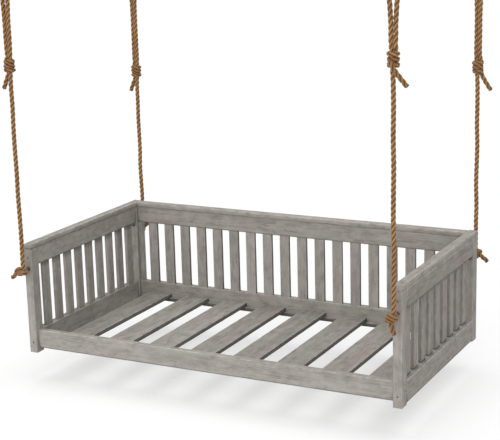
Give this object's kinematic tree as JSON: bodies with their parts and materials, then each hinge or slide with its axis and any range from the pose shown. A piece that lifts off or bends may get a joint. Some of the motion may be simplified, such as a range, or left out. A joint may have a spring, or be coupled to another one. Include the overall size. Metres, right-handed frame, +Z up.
{
  "type": "hanging swing bed",
  "caption": "Slatted wooden daybed with side and back panels, an open front and a plank deck, hung by knotted ropes from ceiling hangers so that it swings and stays level.",
  "frame": {"origin": "in the ceiling's plane, midway between the four ceiling hangers", "axes": "+X along the bed to its right end, +Y towards its back panel, +Z up"},
  "size_m": [2.1664, 1.224, 2.01],
  "materials": {
    "wood": "weathered grey, fine grain, unpolished",
    "rope": "golden brown natural fibre, three-strand twist",
    "steel": "zinc-plated, dull",
    "screw": "dark, dull"
  },
  "bodies": {
    "ceiling": {"ceiling_hanger_front_left": "steel", "ceiling_hanger_front_right": "steel", "ceiling_hanger_rear_left": "steel", "ceiling_hanger_rear_right": "steel", "hanger_pins": "steel"},
    "hanger_front_left": {"hanger_ring_front_left": "steel"},
    "hanger_front_right": {"hanger_ring_front_right": "steel"},
    "hanger_rear_left": {"hanger_ring_rear_left": "steel"},
    "hanger_rear_right": {"hanger_ring_rear_right": "steel"},
    "rope_front_left": {"rope_front_left": "rope", "upper_knot_front_left": "rope"},
    "rope_front_right": {"rope_front_right": "rope", "upper_knot_front_right": "rope"},
    "rope_rear_left": {"rope_rear_left": "rope", "upper_knot_rear_left": "rope"},
    "rope_rear_right": {"rope_rear_right": "rope", "upper_knot_rear_right": "rope"},
    "eye_front_left": {"eye_bolt_front_left": "steel", "lower_knot_front_left": "rope", "eye_nut_front_left": "steel"},
    "bed": {"post_front_left": "wood", "post_front_right": "wood", "post_rear_left": "wood", "post_rear_right": "wood", "deck_slat_1": "wood", "deck_slat_2": "wood", "deck_slat_3": "wood", "deck_slat_4": "wood", "deck_slat_5": "wood", "deck_slat_6": "wood", "deck_slat_7": "wood", "deck_slat_8": "wood", "left_cap": "wood", "right_cap": "wood", "back_cap": "wood", "left_top_rail": "wood", "right_top_rail": "wood", "back_top_rail": "wood", "left_bottom_rail": "wood", "right_bottom_rail": "wood", "back_bottom_rail": "wood", "front_rail": "wood", "front_ledger": "wood", "back_ledger": "wood", "left_slats": "wood", "right_slats": "wood", "back_slats": "wood", "back_stiles": "wood", "deck_screws": "screw", "frame_screws": "screw", "eye_nuts": "steel", "eye_bolt_front_right": "steel", "lower_knot_front_right": "rope", "eye_bolt_rear_left": "steel", "lower_knot_rear_left": "rope", "eye_bolt_rear_right": "steel", "lower_knot_rear_right": "rope"}
  },
  "joints": [
    {"name": "sway_front_left", "type": "hinge", "parent": "ceiling", "child": "hanger_front_left", "pos_m": [-0.9925, -0.58, -0.034], "axis": [0, 1, 0], "range_deg": [-8, 8]},
    {"name": "sway_front_right", "type": "hinge", "parent": "ceiling", "child": "hanger_front_right", "pos_m": [0.9925, -0.58, -0.034], "axis": [0, 1, 0], "range_deg": [-8, 8]},
    {"name": "sway_rear_left", "type": "hinge", "parent": "ceiling", "child": "hanger_rear_left", "pos_m": [-0.9925, 0.58, -0.034], "axis": [0, 1, 0], "range_deg": [-8, 8]},
    {"name": "sway_rear_right", "type": "hinge", "parent": "ceiling", "child": "hanger_rear_right", "pos_m": [0.9925, 0.58, -0.034], "axis": [0, 1, 0], "range_deg": [-8, 8]},
    {"name": "swing_front_left", "type": "hinge", "parent": "hanger_front_left", "child": "rope_front_left", "pos_m": [-0.9925, -0.58, -0.08], "axis": [1, 0, 0], "range_deg": [-12, 12]},
    {"name": "swing_front_right", "type": "hinge", "parent": "hanger_front_right", "child": "rope_front_right", "pos_m": [0.9925, -0.58, -0.08], "axis": [1, 0, 0], "range_deg": [-12, 12]},
    {"name": "swing_rear_left", "type": "hinge", "parent": "hanger_rear_left", "child": "rope_rear_left", "pos_m": [-0.9925, 0.58, -0.08], "axis": [1, 0, 0], "range_deg": [-12, 12]},
    {"name": "swing_rear_right", "type": "hinge", "parent": "hanger_rear_right", "child": "rope_rear_right", "pos_m": [0.9925, 0.58, -0.08], "axis": [1, 0, 0], "range_deg": [-12, 12]},
    {"name": "eye_front_left_tilt", "type": "hinge", "parent": "rope_front_left", "child": "eye_front_left", "pos_m": [-0.9925, -0.58, -1.505], "axis": [1, 0, 0], "range_deg": [-12, 12]},
    {"name": "bed_level", "type": "hinge", "parent": "eye_front_left", "child": "bed", "pos_m": [-0.9925, -0.58, -1.505], "axis": [0, 1, 0], "range_deg": [-8, 8]}
  ],
  "couplings": [
    {"joint": "sway_front_right", "follows": "sway_front_left", "ratio": 1},
    {"joint": "swing_front_right", "follows": "swing_front_left", "ratio": 1},
    {"joint": "sway_rear_left", "follows": "sway_front_left", "ratio": 1},
    {"joint": "swing_rear_left", "follows": "swing_front_left", "ratio": 1},
    {"joint": "sway_rear_right", "follows": "sway_front_left", "ratio": 1},
    {"joint": "swing_rear_right", "follows": "swing_front_left", "ratio": 1},
    {"joint": "eye_front_left_tilt", "follows": "swing_front_left", "ratio": -1},
    {"joint": "bed_level", "follows": "sway_front_left", "ratio": -1}
  ]
}
